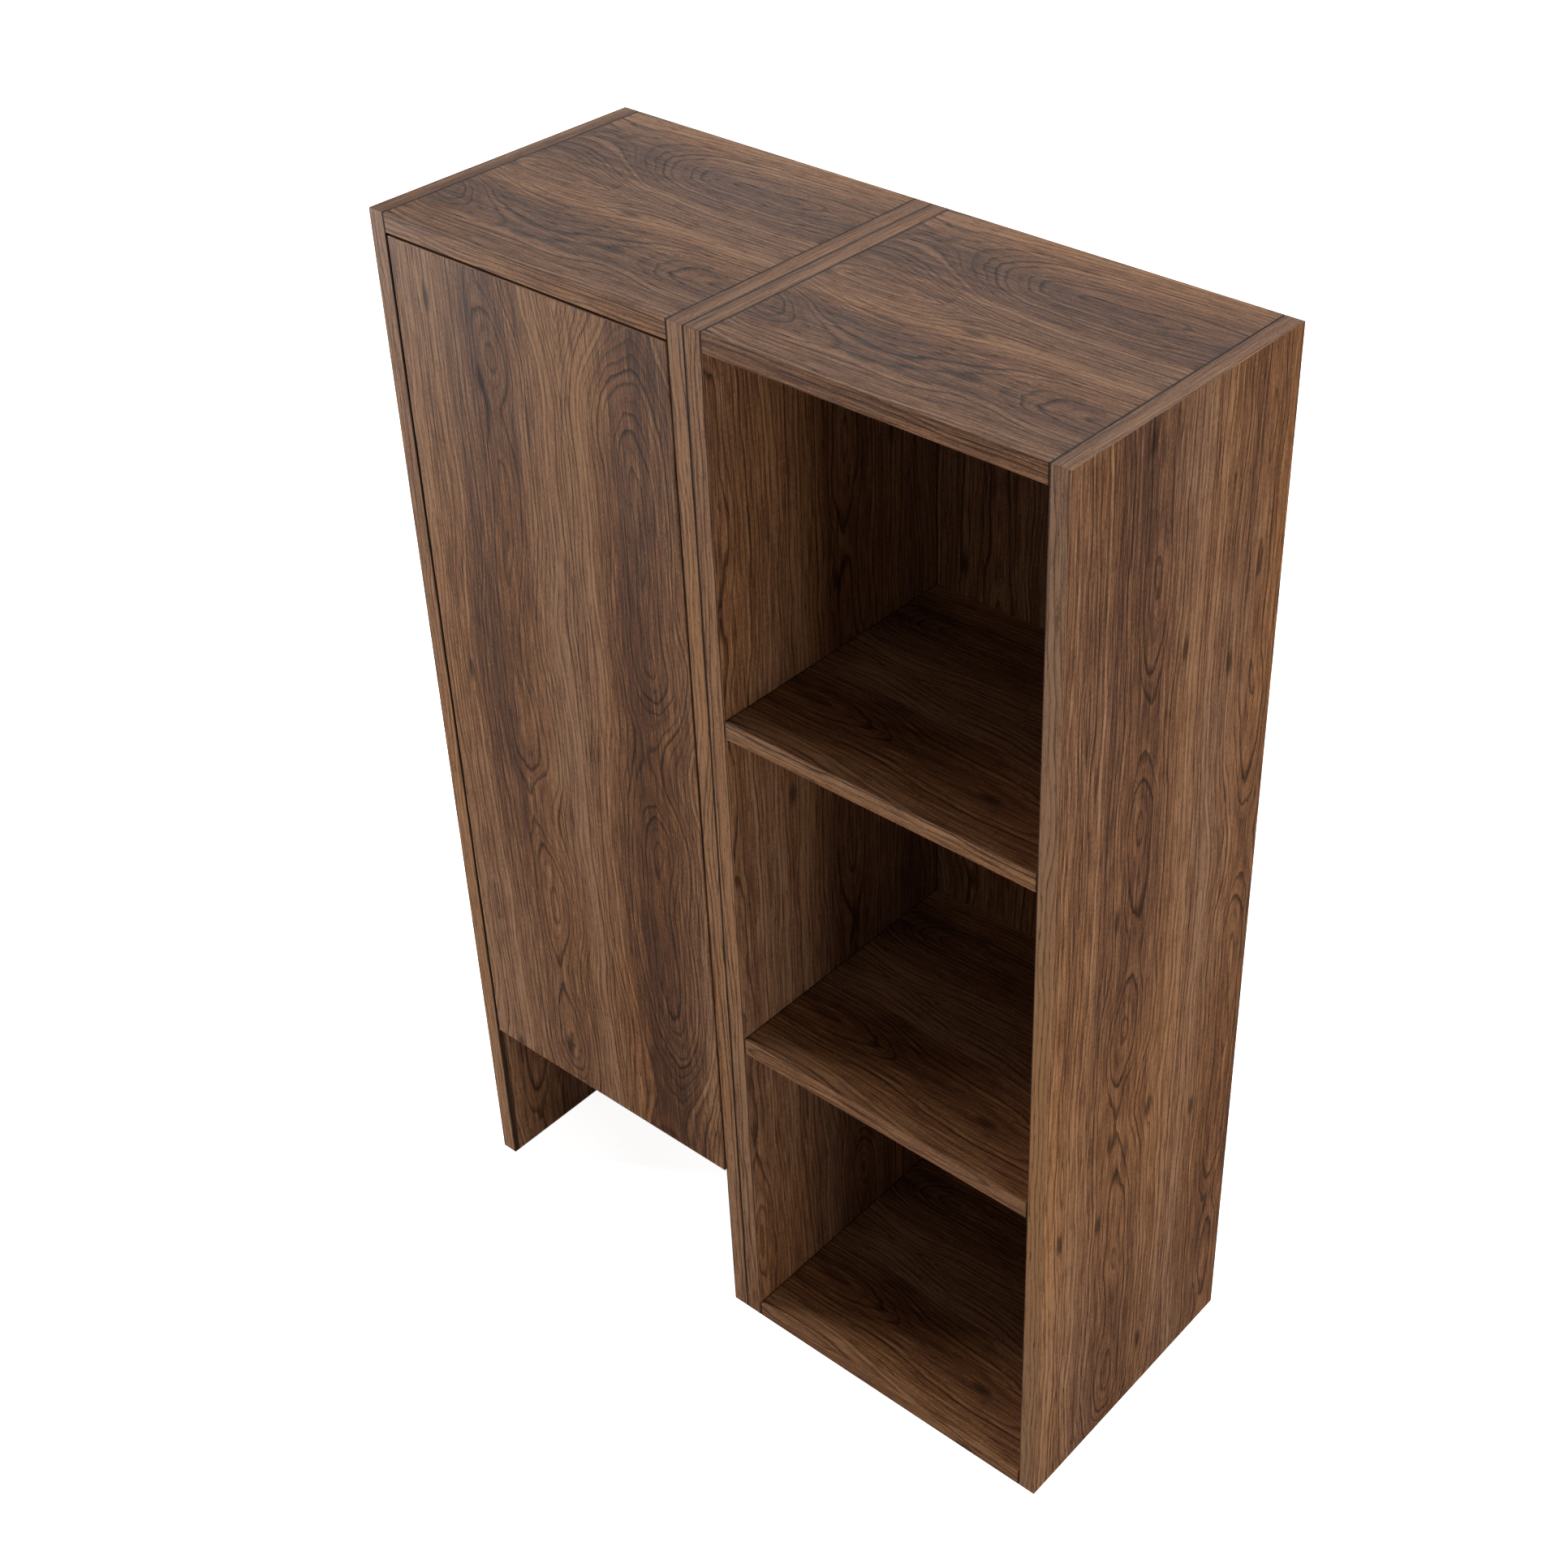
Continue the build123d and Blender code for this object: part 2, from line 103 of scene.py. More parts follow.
WHITE = (1.0, 1.0, 1.0, 1.0)
FLOOR_WIDTH = 40.0
FLOOR_WHITENESS = 0.40
WHITENESS_ADDED_WHEN_SEEN = 0.50
WHITENESS_LOST_WHEN_MIRRORED = 0.30
UNDER_UNIT_RADIUS = 0.9
FAR_RADIUS = 2.8
UNDER_UNIT_GLOW = 0.90
FAR_GLOW = 1.0
ROOM_LIGHT = 0.04

bpy.ops.mesh.primitive_plane_add(size=FLOOR_WIDTH)
floor = bpy.context.object
floor.name = "floor"
floor_paint, paint, floor_shader = new_material("pale_floor")
floor_shader.inputs["Roughness"].default_value = 0.9
floor_shader.inputs["Specular IOR Level"].default_value = 0.1
floor_shader.inputs["Emission Color"].default_value = WHITE
floor_rays = add_node(paint, "ShaderNodeLightPath").outputs
floor_place = add_node(paint, "ShaderNodeTexCoord").outputs["Object"]
off_centre = add_node(paint, "ShaderNodeVectorMath", {0: floor_place}, operation="LENGTH")
glow_inputs = {
    "Value": off_centre.outputs["Value"],
    "From Min": UNDER_UNIT_RADIUS,
    "From Max": FAR_RADIUS,
    "To Min": UNDER_UNIT_GLOW,
    "To Max": FAR_GLOW,
}
floor_glow = add_node(paint, "ShaderNodeMapRange", glow_inputs, interpolation_type="SMOOTHSTEP")
floor_glow = maths(paint, "MULTIPLY", floor_rays["Is Camera Ray"], floor_glow.outputs["Result"])
paint.links.new(floor_glow, floor_shader.inputs["Emission Strength"])
seen_directly = floor_rays["Is Camera Ray"]
whiteness = maths(paint, "MULTIPLY_ADD", seen_directly, WHITENESS_ADDED_WHEN_SEEN, FLOOR_WHITENESS)
mirrored = floor_rays["Is Glossy Ray"]
whiteness = maths(paint, "MULTIPLY_ADD", mirrored, -WHITENESS_LOST_WHEN_MIRRORED, whiteness)
paint.links.new(whiteness, floor_shader.inputs["Base Color"])
floor.data.materials.append(floor_paint)

room = bpy.data.worlds.new("pale_room")
room.use_nodes = True
room_light = room.node_tree.nodes["Background"]
room_light.inputs["Color"].default_value = WHITE
room_light.inputs["Strength"].default_value = ROOM_LIGHT
room_wall = add_node(room.node_tree, "ShaderNodeBackground", {"Color": WHITE, "Strength": 1.0})
room_rays = add_node(room.node_tree, "ShaderNodeLightPath").outputs
mix_inputs = {
    "Fac": room_rays["Is Camera Ray"],
    1: room_light.outputs["Background"],
    2: room_wall.outputs["Background"],
}
room_mix = add_node(room.node_tree, "ShaderNodeMixShader", mix_inputs)
room_output = room.node_tree.nodes["World Output"]
room.node_tree.links.new(room_mix.outputs["Shader"], room_output.inputs["Surface"])
bpy.context.scene.world = room
bpy.context.scene.view_settings.view_transform = "Standard"


# The upright sides: 18 mm boards faced with crown-cut walnut veneer, its grain upright, under a
# satin lacquer. The growth rings show as cathedrals and long eyes with straight grain between them.
GRAIN_UP_ACROSS_Y = ("Y", "Z", "X")
GRAIN_UP_ACROSS_X = ("X", "Z", "Y")
GRAIN_ALONG_X = ("Y", "X", "Z")


def ramp_between(tree, value, low, high):
    """A smooth 0 to 1 step as value goes from low to high."""
    inputs = {"Value": value, "From Min": low, "From Max": high}
    return add_node(tree, "ShaderNodeMapRange", inputs, interpolation_type="SMOOTHSTEP").outputs["Result"]


def noise_at(tree, vector, scales, detail=1.0, roughness=0.5, shift=(0.0, 0.0, 0.0)):
    """Noise of a vector stretched by three scales, in repeats per metre."""
    placed = add_node(tree, "ShaderNodeMapping", {"Vector": vector, "Location": shift, "Scale": scales})
    inputs = {"Vector": placed.outputs[0], "Scale": 1.0, "Detail": detail, "Roughness": roughness}
    return add_node(tree, "ShaderNodeTexNoise", inputs).outputs["Fac"]


def noise_along(tree, value, scale, detail=0.0, roughness=0.5):
    """Noise of one number."""
    inputs = {"W": value, "Scale": scale, "Detail": detail, "Roughness": roughness}
    return add_node(tree, "ShaderNodeTexNoise", inputs, noise_dimensions="1D").outputs["Fac"]


def add_swing(tree, value, noise, amount):
    """value plus amount times how far a noise lies from its middle."""
    swing = maths(tree, "SUBTRACT", noise, 0.5)
    return maths(tree, "MULTIPLY_ADD", swing, amount, value)


def colour_stops(tree, value, stops):
    """A colour ramp through (place, colour) stops."""
    ramp = add_node(tree, "ShaderNodeValToRGB", {"Fac": value})
    elements = ramp.color_ramp.elements
    while len(elements) < len(stops):
        elements.new(1.0)
    for element, (place, colour) in zip(elements, stops):
        element.position = place
        element.color = (*colour, 1.0)
    return ramp.outputs["Color"]


def scaled(tree, colour, amount):
    """A colour times one number."""
    inputs = {0: colour, "Scale": amount}
    return add_node(tree, "ShaderNodeVectorMath", inputs, operation="SCALE").outputs[0]


def bump(tree, shader, height, strength, distance):
    """Shades a surface as if height raised it; distance is in metres."""
    inputs = {"Height": height, "Strength": strength, "Distance": distance}
    raised = add_node(tree, "ShaderNodeBump", inputs)
    tree.links.new(raised.outputs["Normal"], shader.inputs["Normal"])


def new_group(name, inputs, outputs):
    """An empty shader node group, and the sockets that go in and come out."""
    tree = bpy.data.node_groups.new(name, "ShaderNodeTree")
    for in_out, sockets in (("INPUT", inputs), ("OUTPUT", outputs)):
        for socket_name, kind, default in sockets:
            kind = "NodeSocket" + kind
            socket = tree.interface.new_socket(socket_name, in_out=in_out, socket_type=kind)
            if default is not None:
                socket.default_value = default
    given = tree.nodes.new("NodeGroupInput").outputs
    result = tree.nodes.new("NodeGroupOutput").inputs
    return tree, given, result


def board_grain_group():
    """Lays a board's grain on its edges and ends too. Points and normals are across, along, through."""
    tree, given, result = new_group(
        "board_grain",
        (("Point", "Vector", None), ("Facing", "Vector", None)),
        (("Point", "Vector", None),),
    )
    point = add_node(tree, "ShaderNodeSeparateXYZ", {0: given["Point"]}).outputs
    facing = add_node(tree, "ShaderNodeVectorMath", {0: given["Facing"]}, operation="ABSOLUTE").outputs[0]
    facing = add_node(tree, "ShaderNodeSeparateXYZ", {0: facing}).outputs
    on_face = maths(tree, "GREATER_THAN", facing["Z"], 0.6)
    on_end = maths(tree, "GREATER_THAN", facing["Y"], 0.6)
    across = add_node(tree, "ShaderNodeMix", {"Factor": on_face, "A": point["Z"], "B": point["X"]})
    along = add_node(tree, "ShaderNodeMix", {"Factor": on_end, "A": point["Y"], "B": point["X"]})
    sockets = {"X": across.outputs["Result"], "Y": along.outputs["Result"], "Z": point["Z"]}
    laid = add_node(tree, "ShaderNodeCombineXYZ", sockets)
    tree.links.new(laid.outputs[0], result["Point"])
    return tree


WALNUT_TONES = (
    (0.0, (0.060, 0.026, 0.014)),
    (0.28, (0.108, 0.046, 0.024)),
    (0.55, (0.182, 0.080, 0.036)),
    (0.78, (0.252, 0.120, 0.056)),
    (1.0, (0.330, 0.175, 0.090)),
)
COOL_TINT = (0.94, 0.99, 1.12)
WARM_TINT = (1.08, 1.0, 0.82)
RING_LINE_DARKNESS = 0.72
PORE_DARKNESS = 0.7
KNOT_DARKNESS = 0.7


def walnut_figure_group():
    """Crown-cut walnut from a point in metres: X across the grain, Y along it, Z through the board."""
    tree, given, result = new_group(
        "walnut_figure",
        (
            ("Point", "Vector", None),
            ("Leaf Width", "Float", 0.165),
            ("Rings", "Float", 150.0),
            ("Wander", "Float", 0.05),
            ("Depth", "Float", 0.01),
            ("Swell", "Float", 0.30),
            ("Heart", "Float", 1.0),
            ("Lightness", "Float", 0.0),
        ),
        (("Color", "Color", None), ("Roughness", "Float", None), ("Height", "Float", None)),
    )
    point = given["Point"]
    parts = add_node(tree, "ShaderNodeSeparateXYZ", {0: point}).outputs

    # Where the heart of each leaf lies under this point, and how deep the knife ran there
    across = maths(tree, "MULTIPLY_ADD", parts["Z"], 2.0, parts["X"])
    across = add_swing(tree, across, noise_at(tree, point, (4.0, 1.7, 4.0)), given["Wander"])
    cell = maths(tree, "DIVIDE", across, given["Leaf Width"])
    from_heart = maths(tree, "SUBTRACT", maths(tree, "FRACT", cell), 0.5)
    from_heart = maths(tree, "MULTIPLY", from_heart, given["Leaf Width"])
    swell = noise_at(tree, point, (3.1, 2.3, 3.1), shift=(4.7, 1.3, 0.0))
    depth = add_swing(tree, given["Depth"], swell, given["Swell"])
    depth = add_swing(tree, depth, noise_at(tree, point, (6.0, 5.0, 6.0), shift=(1.1, 0.4, 2.0)), 0.05)
    radius = maths(tree, "MULTIPLY", from_heart, from_heart)
    radius = maths(tree, "SQRT", maths(tree, "MULTIPLY_ADD", depth, depth, radius))

    # Growth rings, closer together away from the heart, with slow and quick ripples
    rings = maths(tree, "MULTIPLY", radius, maths(tree, "MULTIPLY_ADD", radius, 3.0, 1.0))
    rings = maths(tree, "MULTIPLY", rings, given["Rings"])
    rings = add_swing(tree, rings, noise_at(tree, point, (9.0, 1.6, 9.0), shift=(0.0, 5.1, 0.0)), 3.0)
    rings = add_swing(tree, rings, noise_at(tree, point, (48.0, 12.0, 48.0), detail=2.5), 1.8)
    rings = add_swing(tree, rings, noise_at(tree, point, (20.0, 9.0, 20.0), shift=(6.0, 0.0, 2.0)), 1.5)
    ring_age = maths(tree, "FRACT", rings)
    late_wood = ramp_between(tree, ring_age, 0.55, 0.93)
    late_wood = maths(tree, "MULTIPLY", late_wood, ramp_between(tree, ring_age, 1.0, 0.96))
    ring_luck = add_node(
        tree, "ShaderNodeTexWhiteNoise", {"W": maths(tree, "FLOOR", rings)}, noise_dimensions="1D"
    ).outputs["Value"]
    line = maths(tree, "MULTIPLY", late_wood, maths(tree, "MULTIPLY_ADD", ring_luck, 0.9, 0.1))

    # Tone from 0, dark mauve, to 1, light tan: broad bands, soft stripes along the rings, and fibres
    tone = add_swing(tree, 0.63, noise_along(tree, rings, 0.13, detail=1.0), 0.5)
    clouds = noise_at(tree, point, (9.0, 1.1, 9.0), detail=1.5, shift=(2.0, 0.0, 7.0))
    tone = add_swing(tree, tone, clouds, 0.85)
    tone = add_swing(tree, tone, noise_at(tree, point, (90.0, 2.2, 90.0), detail=1.0), 0.5)
    near_heart = ramp_between(tree, maths(tree, "ABSOLUTE", from_heart), 0.060, 0.012)
    near_heart = maths(tree, "MULTIPLY", near_heart, given["Heart"])
    tone = maths(tree, "MULTIPLY_ADD", near_heart, -0.28, tone)
    stripe_strength = noise_at(tree, point, (25.0, 3.0, 25.0), shift=(0.0, 9.0, 3.0))
    stripe = maths(tree, "SUBTRACT", noise_along(tree, rings, 1.2, detail=2.0, roughness=0.6), 0.5)
    stripe = maths(tree, "MULTIPLY", stripe, maths(tree, "MULTIPLY", stripe_strength, 1.1))
    tone = maths(tree, "ADD", tone, stripe)
    fibre = noise_at(tree, point, (420.0, 10.0, 420.0), detail=2.0, roughness=0.6)
    tone = add_swing(tree, tone, fibre, 0.75)
    fine_fibre = noise_at(tree, point, (950.0, 22.0, 950.0), detail=1.0, shift=(0.0, 0.0, 5.0))
    tone = add_swing(tree, tone, fine_fibre, 1.25)
    fleck = noise_at(tree, point, (1500.0, 260.0, 1500.0), shift=(7.0, 0.0, 0.0))
    tone = add_swing(tree, tone, fleck, 0.75)
    tone = maths(tree, "ADD", maths(tree, "MULTIPLY_ADD", tone, 1.25, -0.13), given["Lightness"])
    wood = colour_stops(tree, tone, WALNUT_TONES)
    warmth = noise_at(tree, point, (9.0, 1.5, 9.0), shift=(3.0, 8.0, 2.0))
    warmth = colour_stops(tree, warmth, ((0.3, COOL_TINT), (0.7, WARM_TINT)))
    wood = add_node(tree, "ShaderNodeVectorMath", {0: wood, 1: warmth}, operation="MULTIPLY").outputs[0]

    # Dark ring lines, the short dark dashes of open pores, and a few pin knots
    pore = noise_at(tree, point, (1000.0, 55.0, 1000.0), detail=1.0)
    pore = ramp_between(tree, pore, 0.57, 0.70)
    pore = maths(tree, "MULTIPLY", pore, maths(tree, "MULTIPLY_ADD", late_wood, 0.5, 0.5))
    knot_place = {"Vector": point, "Scale": (13.0, 4.5, 0.0)}
    knot_cells = add_node(tree, "ShaderNodeMapping", knot_place).outputs[0]
    knot_cells = add_node(
        tree, "ShaderNodeTexVoronoi", {"Vector": knot_cells, "Scale": 1.0}, voronoi_dimensions="2D"
    ).outputs
    knot_luck = add_node(tree, "ShaderNodeSeparateXYZ", {0: knot_cells["Color"]}).outputs["X"]
    knot = maths(tree, "MULTIPLY", ramp_between(tree, knot_cells["Distance"], 0.085, 0.02), 0.9)
    knot = maths(tree, "MULTIPLY", knot, maths(tree, "GREATER_THAN", knot_luck, 0.6))
    shade = maths(tree, "MULTIPLY_ADD", line, -RING_LINE_DARKNESS, 1.0)
    shade = maths(tree, "MULTIPLY", shade, maths(tree, "MULTIPLY_ADD", pore, -PORE_DARKNESS, 1.0))
    shade = maths(tree, "MULTIPLY", shade, maths(tree, "MULTIPLY_ADD", knot, -KNOT_DARKNESS, 1.0))
    tree.links.new(scaled(tree, wood, shade), result["Color"])

    # The lacquer is a little duller over pores and where hands have been
    handled = noise_at(tree, point, (7.0, 5.0, 7.0), detail=3.0, shift=(9.0, 2.0, 1.0))
    gloss = maths(tree, "MULTIPLY_ADD", pore, 0.18, 0.42)
    tree.links.new(maths(tree, "MULTIPLY_ADD", handled, 0.14, gloss), result["Roughness"])
    height = maths(tree, "MULTIPLY_ADD", late_wood, -0.25, maths(tree, "MULTIPLY", pore, -1.0))
    tree.links.new(maths(tree, "MULTIPLY_ADD", fibre, 0.3, height), result["Height"])
    return tree


# A dark line along the joints between the boards: partly the joints' own dark line, partly painted shade
# in their grooves.
JOINT_LINE_AND_SHADE_REACH = 0.0018
JOINT_LINE_AND_SHADE_CORE = 0.0006
JOINT_LINE_AND_SHADE_DARKNESS = 0.85
# Painted shadow in the door's gap: sideways faces within a few millimetres of the door's edge, near the
# front, are darkened.
PAINTED_GAP_SHADOW_REACH = 0.0032
PAINTED_GAP_SHADOW_CORE = 0.0024
PAINTED_GAP_SHADOW_DEPTH = 0.005
PAINTED_GAP_SHADOW_CLEAR_DEPTH = 0.008
PAINTED_GAP_SHADOW_DARKNESS = 0.8


def joint_line_and_painted_shade_group():
    """Dark lines where the sides meet the boards between them, partly the joints' own dark line and
    partly painted shade in their grooves, and painted shadow on the sideways faces in the gap by the
    door's hinges.
    """
    tree, given, result = new_group(
        "joint_line_and_painted_shade",
        (("Point", "Vector", None), ("Facing", "Vector", None)),
        (("Shade", "Float", None),),
    )
    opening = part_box("cube_unit_top")
    point = add_node(tree, "ShaderNodeSeparateXYZ", {0: given["Point"]}).outputs
    from_middle = maths(tree, "ABSOLUTE", point["X"])
    nearest = from_middle
    for joint in (opening[0][0], opening[1][0]):
        off_joint = maths(tree, "ABSOLUTE", maths(tree, "SUBTRACT", from_middle, joint))
        nearest = maths(tree, "MINIMUM", nearest, off_joint)
    sideways = add_node(tree, "ShaderNodeSeparateXYZ", {0: given["Facing"]}).outputs["X"]
    sideways = maths(tree, "ABSOLUTE", sideways)
    # The joint line, partly painted shade in the joints' grooves, on faces that do not face sideways
    line = ramp_between(tree, nearest, JOINT_LINE_AND_SHADE_REACH, JOINT_LINE_AND_SHADE_CORE)
    line = maths(tree, "MULTIPLY", line, ramp_between(tree, sideways, 0.9, 0.7))
    shade = maths(tree, "MULTIPLY_ADD", line, -JOINT_LINE_AND_SHADE_DARKNESS, 1.0)
    # Painted shadow in the door's gap, on faces that face sideways, near the front
    door_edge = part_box("door_upright_edging")[0]
    gap = maths(tree, "ABSOLUTE", maths(tree, "SUBTRACT", point["X"], door_edge[0]))
    gap = ramp_between(tree, gap, PAINTED_GAP_SHADOW_REACH, PAINTED_GAP_SHADOW_CORE)
    gap = maths(tree, "MULTIPLY", gap, ramp_between(tree, sideways, 0.7, 0.9))
    clear_from = door_edge[1] + PAINTED_GAP_SHADOW_CLEAR_DEPTH
    dark_to = door_edge[1] + PAINTED_GAP_SHADOW_DEPTH
    gap = maths(tree, "MULTIPLY", gap, ramp_between(tree, point["Y"], clear_from, dark_to))
    gap_shade = maths(tree, "MULTIPLY_ADD", gap, -PAINTED_GAP_SHADOW_DARKNESS, 1.0)
    shade = maths(tree, "MULTIPLY", shade, gap_shade)
    tree.links.new(shade, result["Shade"])
    return tree


board_grain = board_grain_group()
walnut_figure = walnut_figure_group()
joint_line_and_painted_shade = joint_line_and_painted_shade_group()


def turned(tree, vector, grain):
    """A vector's parts in the order of the axes that grain names."""
    parts = add_node(tree, "ShaderNodeSeparateXYZ", {0: vector}).outputs
    sockets = {number: parts[axis] for number, axis in enumerate(grain)}
    return add_node(tree, "ShaderNodeCombineXYZ", sockets).outputs[0]


PORE_DEPTH = 0.0004
SATIN_SPECULAR = 0.2


def walnut(name, grain, shift, **look):
    """Walnut veneer. grain names the axes across, along and through it; shift moves the figure."""
    material, tree, shader = new_material(name)
    place = add_node(tree, "ShaderNodeTexCoord").outputs
    inputs = {"Vector": turned(tree, place["Object"], grain), "Location": shift}
    moved = add_node(tree, "ShaderNodeMapping", inputs)
    inputs = {"Point": moved.outputs[0], "Facing": turned(tree, place["Normal"], grain)}
    laid = add_node(tree, "ShaderNodeGroup", inputs, node_tree=board_grain)
    look = {socket.title(): value for socket, value in look.items()}
    inputs = {"Point": laid.outputs["Point"], **look}
    figure = add_node(tree, "ShaderNodeGroup", inputs, node_tree=walnut_figure)
    # The base colour is darkened by the joint line, partly painted shade in the joints' grooves, and by
    # painted shadow in the door's gap
    inputs = {"Point": place["Object"], "Facing": place["Normal"]}
    joint = add_node(tree, "ShaderNodeGroup", inputs, node_tree=joint_line_and_painted_shade)
    shaded = scaled(tree, figure.outputs["Color"], joint.outputs["Shade"])
    tree.links.new(shaded, shader.inputs["Base Color"])
    tree.links.new(figure.outputs["Roughness"], shader.inputs["Roughness"])
    bump(tree, shader, figure.outputs["Height"], 0.35, PORE_DEPTH)
    shader.inputs["Specular IOR Level"].default_value = SATIN_SPECULAR
    return material


def finish_node(name, material):
    """Gives a carried-over piece its material."""
    for slot in nodes[name].material_slots:
        slot.material = material


SIDE_SHIFTS = {
    "door_cabinet_left_side": (0.31, 0.40, 0.366),
    "door_cabinet_right_side": (0.14, 2.10, 0.0),
    "cube_unit_left_side": (0.07, 3.30, -0.018),
    "cube_unit_right_side": (0.1225, 5.90, -0.366),
}
for node_name, shift in SIDE_SHIFTS.items():
    finish_node(node_name, walnut(node_name + "_walnut", GRAIN_UP_ACROSS_Y, shift, swell=0.2, heart=0.5))


# The level boards between the sides, of the same board but with the grain running from side to
# side. Cams in their undersides hold all but the door cabinet's two shelves, which lie on pins.
LEVEL_SHIFTS = {
    "door_cabinet_top": (0.0, 0.90, -1.1),
    "door_cabinet_bottom": (0.05, 8.20, -0.2),
    "door_cabinet_lower_shelf": (0.09, 9.40, -0.482),
    "door_cabinet_upper_shelf": (0.03, 10.70, -0.782),
    "cube_unit_top": (0.0, 0.534, -1.1),
    "cube_unit_upper_shelf": (0.0, 7.50, -0.73933),
    "cube_unit_lower_shelf": (0.0, 7.50, -0.37867),
    "cube_unit_bottom": (0.0, 7.50, -0.018),
}
for node_name, shift in LEVEL_SHIFTS.items():
    finish_node(node_name, walnut(node_name + "_walnut", GRAIN_ALONG_X, shift))


# The backs: thin veneered panels, grain upright, slid into grooves in the boards round them.
BACK_SHIFTS = {
    "door_cabinet_back": (0.2, 14.0, -0.134),
    "cube_unit_back": (0.0, 15.2, -0.134),
}
for node_name, shift in BACK_SHIFTS.items():
    finish_node(node_name, walnut(node_name + "_walnut", GRAIN_UP_ACROSS_X, shift, heart=0.4))


# The glued strips on the boards' front edges: veneer a millimetre thick, cut along the grain, so
# that an upright board's strip has upright grain and a level board's strip runs from side to side.
UPRIGHT_STRIP_SHIFTS = {
    "door_cabinet_upright_edging": (0.0, 17.0, 0.152),
    "cube_unit_upright_edging": (0.0, 18.0, 0.152),
}
for node_name, shift in UPRIGHT_STRIP_SHIFTS.items():
    look = {"swell": 0.05, "heart": 0.0, "lightness": 0.22}
    finish_node(node_name, walnut(node_name + "_walnut", GRAIN_UP_ACROSS_X, shift, **look))
GRAIN_ALONG_X_ACROSS_Z = ("Z", "X", "Y")
CROSS_STRIP_SHIFTS = {
    "door_cabinet_cross_edging": (0.06, 19.0, 0.152),
    "cube_unit_cross_edging": (0.05, 20.0, 0.152),
}
for node_name, shift in CROSS_STRIP_SHIFTS.items():
    strip = walnut(node_name + "_walnut", GRAIN_ALONG_X_ACROSS_Z, shift, swell=0.05, heart=0.0)
    finish_node(node_name, strip)


# The door: an inset veneered board with no handle, edged on all four sides. It shuts flush with
# the cabinet's front and its veneer is the most figured of the set.
finish_node("door_panel", walnut("door_walnut", GRAIN_UP_ACROSS_X, (0.151, 26.8, 0.152)))
finish_node("door_upright_edging", walnut("door_upright_strip", GRAIN_UP_ACROSS_X, (0.151, 26.8, 0.152)))
strip = walnut("door_cross_strip", GRAIN_ALONG_X_ACROSS_Z, (0.0, 23.5, 0.152), swell=0.05, lightness=0.1)
finish_node("door_cross_edging", strip)


# Fittings of plated metal: zinc cams, steel bolts, shelf pins and screws, nickelled hinges. Each
# is cast, pressed or turned, then barrel-plated, which leaves fine marks and slightly uneven gloss.
def plating_marks_group():
    """Uneven plating from a point in metres: a shaded colour, a roughness and a height."""
    tree, given, result = new_group(
        "plating_marks",
        (("Point", "Vector", None), ("Color", "Color", None), ("Gloss", "Float", 0.3)),
        (("Color", "Color", None), ("Roughness", "Float", None), ("Height", "Float", None)),
    )
    cloud = noise_at(tree, given["Point"], (160.0, 160.0, 160.0), detail=3.0)
    scratch = noise_at(tree, given["Point"], (3000.0, 260.0, 3000.0), detail=2.0)
    shade = maths(tree, "MULTIPLY_ADD", cloud, 0.35, 0.80)
    tree.links.new(scaled(tree, given["Color"], shade), result["Color"])
    gloss = maths(tree, "MULTIPLY_ADD", cloud, 0.20, given["Gloss"])
    gloss = maths(tree, "MULTIPLY_ADD", scratch, 0.10, gloss)
    tree.links.new(gloss, result["Roughness"])
    tree.links.new(scratch, result["Height"])
    return tree


plating_marks = plating_marks_group()
SCRATCH_DEPTH = 0.0001


def plated(name, colour, gloss):
    """Plated metal of a colour and a roughness."""
    material, tree, shader = new_material(name)
    place = add_node(tree, "ShaderNodeTexCoord").outputs["Object"]
    inputs = {"Point": place, "Color": (*colour, 1.0), "Gloss": gloss}
    marks = add_node(tree, "ShaderNodeGroup", inputs, node_tree=plating_marks)
    tree.links.new(marks.outputs["Color"], shader.inputs["Base Color"])
    tree.links.new(marks.outputs["Roughness"], shader.inputs["Roughness"])
    bump(tree, shader, marks.outputs["Height"], 0.15, SCRATCH_DEPTH)
    shader.inputs["Metallic"].default_value = 1.0
    return material


zinc = plated("cast_zinc", (0.52, 0.52, 0.50), 0.38)
steel = plated("bright_steel", (0.60, 0.60, 0.60), 0.22)
nickel = plated("nickel_plate", (0.66, 0.63, 0.58), 0.16)
zinc_plate = plated("zinc_plate", (0.62, 0.63, 0.64), 0.26)
for node_name in ("door_cabinet_cam_locks", "cube_unit_cam_locks"):
    finish_node(node_name, zinc)
for node_name in ("door_cabinet_cam_bolts", "cube_unit_cam_bolts", "door_cabinet_shelf_pins"):
    finish_node(node_name, steel)
for height in ("lower", "upper"):
    for piece in ("cup", "arm", "plate"):
        finish_node(f"{height}_hinge_{piece}", nickel)
    finish_node(f"{height}_hinge_pin", steel)
for node_name in (
    "hinge_cup_screws",
    "hinge_plate_screws",
    "hinge_arm_screws",
    "latch_housing_screws",
    "latch_strike_screw",
    "latch_strike_plate",
    "cabinet_joining_screws",
):
    finish_node(node_name, zinc_plate)


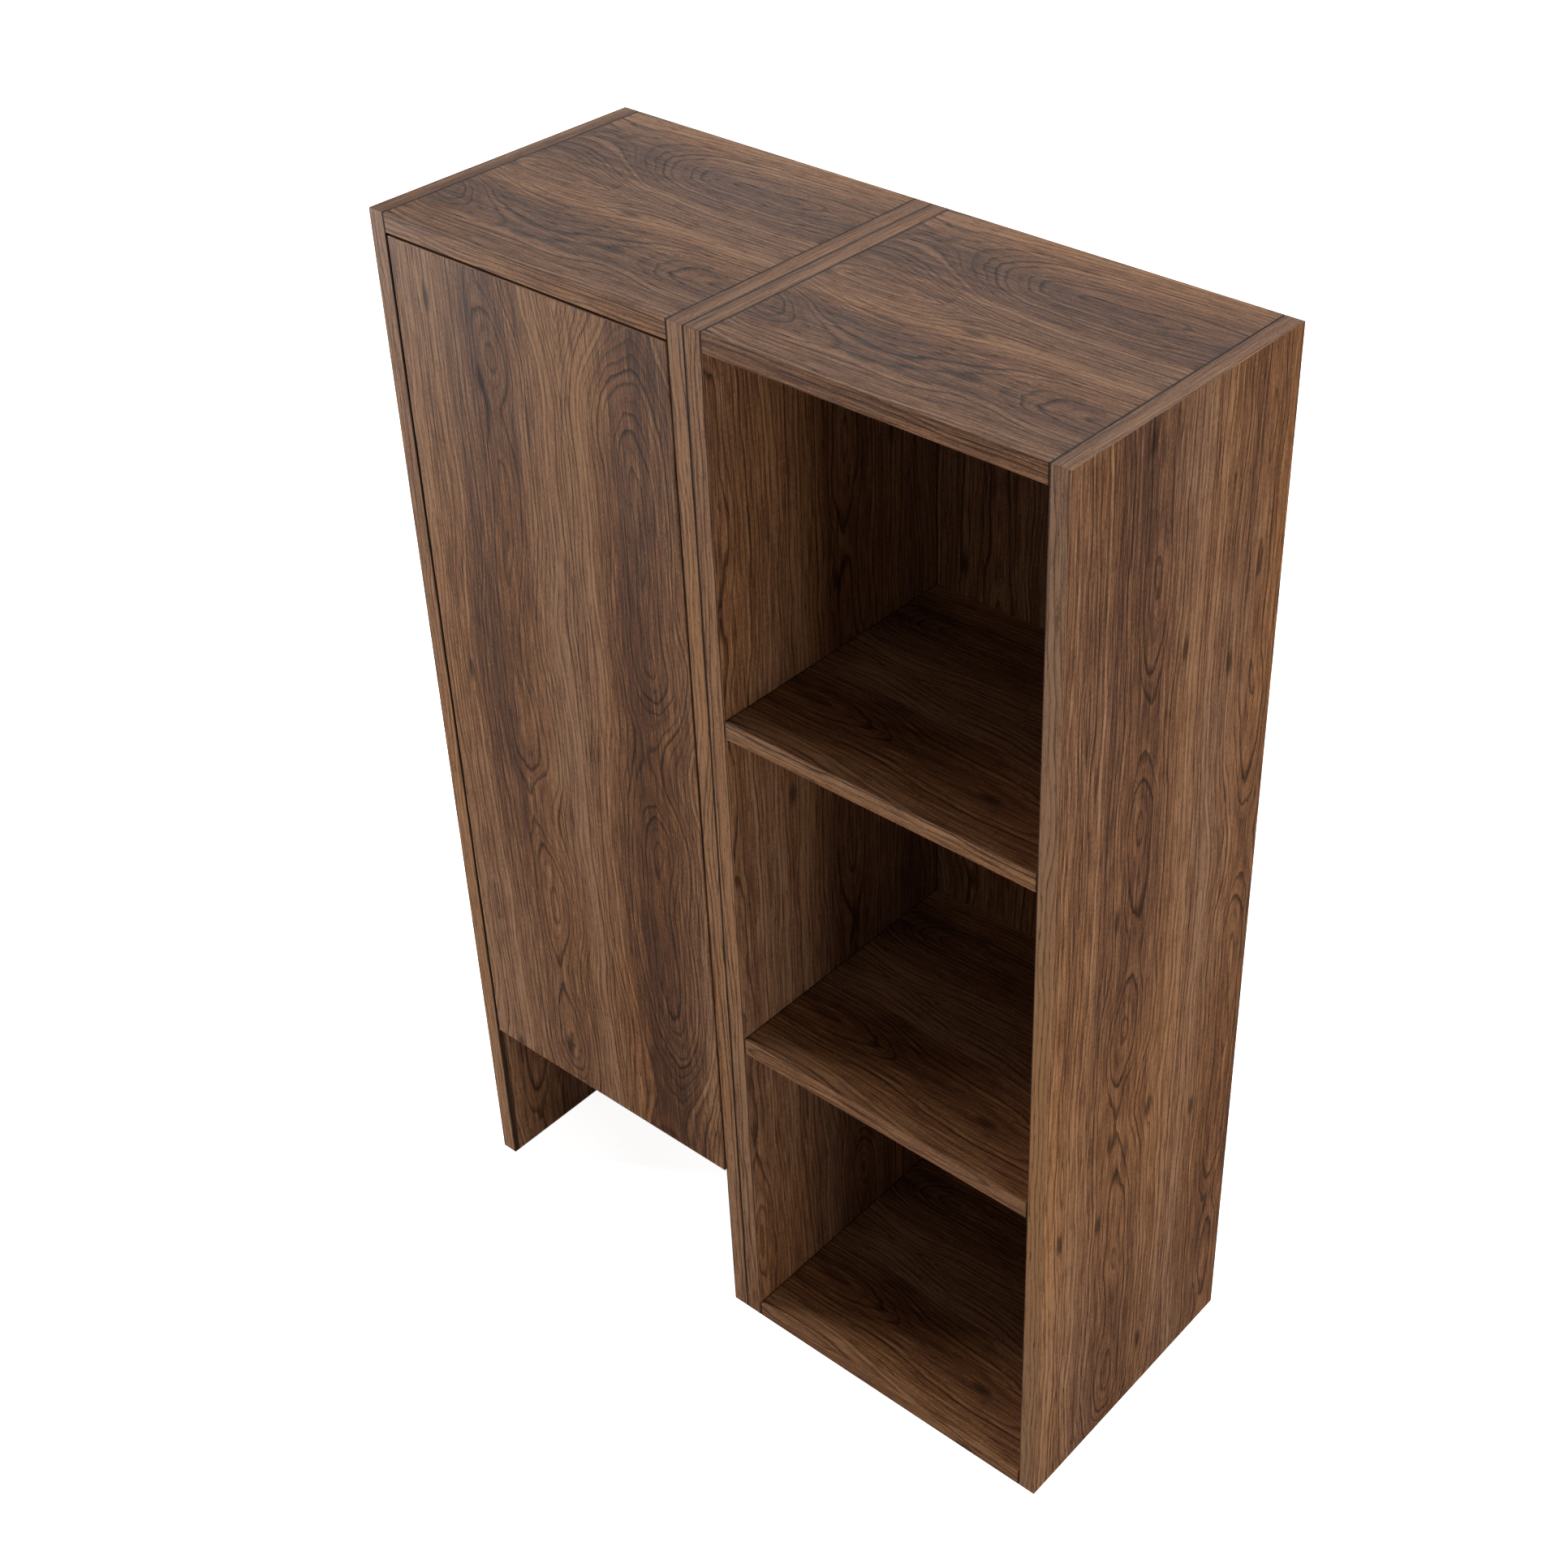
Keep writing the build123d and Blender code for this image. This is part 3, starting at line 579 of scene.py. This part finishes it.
# The dowels: turned beech, glued into the boards' ends beside the cams.
BEECH_GRAIN_DEPTH = 0.0002


def beech():
    """Pale close-grained beech with short brown flecks."""
    material, tree, shader = new_material("beech")
    place = add_node(tree, "ShaderNodeTexCoord").outputs["Object"]
    grain = noise_at(tree, place, (60.0, 700.0, 700.0), detail=2.0)
    fleck = ramp_between(tree, noise_at(tree, place, (400.0, 1600.0, 1600.0)), 0.60, 0.75)
    tone = maths(tree, "MULTIPLY_ADD", fleck, -0.3, grain)
    colour = colour_stops(tree, tone, ((0.2, (0.38, 0.22, 0.11)), (0.8, (0.62, 0.42, 0.24))))
    tree.links.new(colour, shader.inputs["Base Color"])
    tree.links.new(maths(tree, "MULTIPLY_ADD", grain, 0.2, 0.55), shader.inputs["Roughness"])
    bump(tree, shader, grain, 0.2, BEECH_GRAIN_DEPTH)
    return material


beech_wood = beech()
for node_name in ("door_cabinet_dowels", "cube_unit_dowels"):
    finish_node(node_name, beech_wood)


# The push latch: a moulded housing screwed under the top board, a smooth plunger that a spring
# drives, and a small magnet on its end that holds the door by a steel plate.
def moulded_plastic(name, colour, roughness, texture_depth):
    """Moulded plastic with a fine spark-eroded texture."""
    material, tree, shader = new_material(name)
    place = add_node(tree, "ShaderNodeTexCoord").outputs["Object"]
    grit = noise_at(tree, place, (1800.0, 1800.0, 1800.0), detail=2.0)
    cloud = noise_at(tree, place, (90.0, 90.0, 90.0), detail=2.0)
    darker = tuple(0.82 * c for c in colour)
    tree.links.new(colour_stops(tree, cloud, ((0.3, darker), (0.7, colour))), shader.inputs["Base Color"])
    tree.links.new(maths(tree, "MULTIPLY_ADD", grit, 0.2, roughness), shader.inputs["Roughness"])
    bump(tree, shader, grit, 0.3, texture_depth)
    return material


finish_node("latch_housing", moulded_plastic("grey_plastic", (0.16, 0.16, 0.17), 0.45, 0.0002))
finish_node("latch_plunger", moulded_plastic("white_plastic", (0.70, 0.69, 0.66), 0.30, 0.00005))
finish_node("latch_magnet", plated("magnet_plate", (0.34, 0.34, 0.36), 0.25))
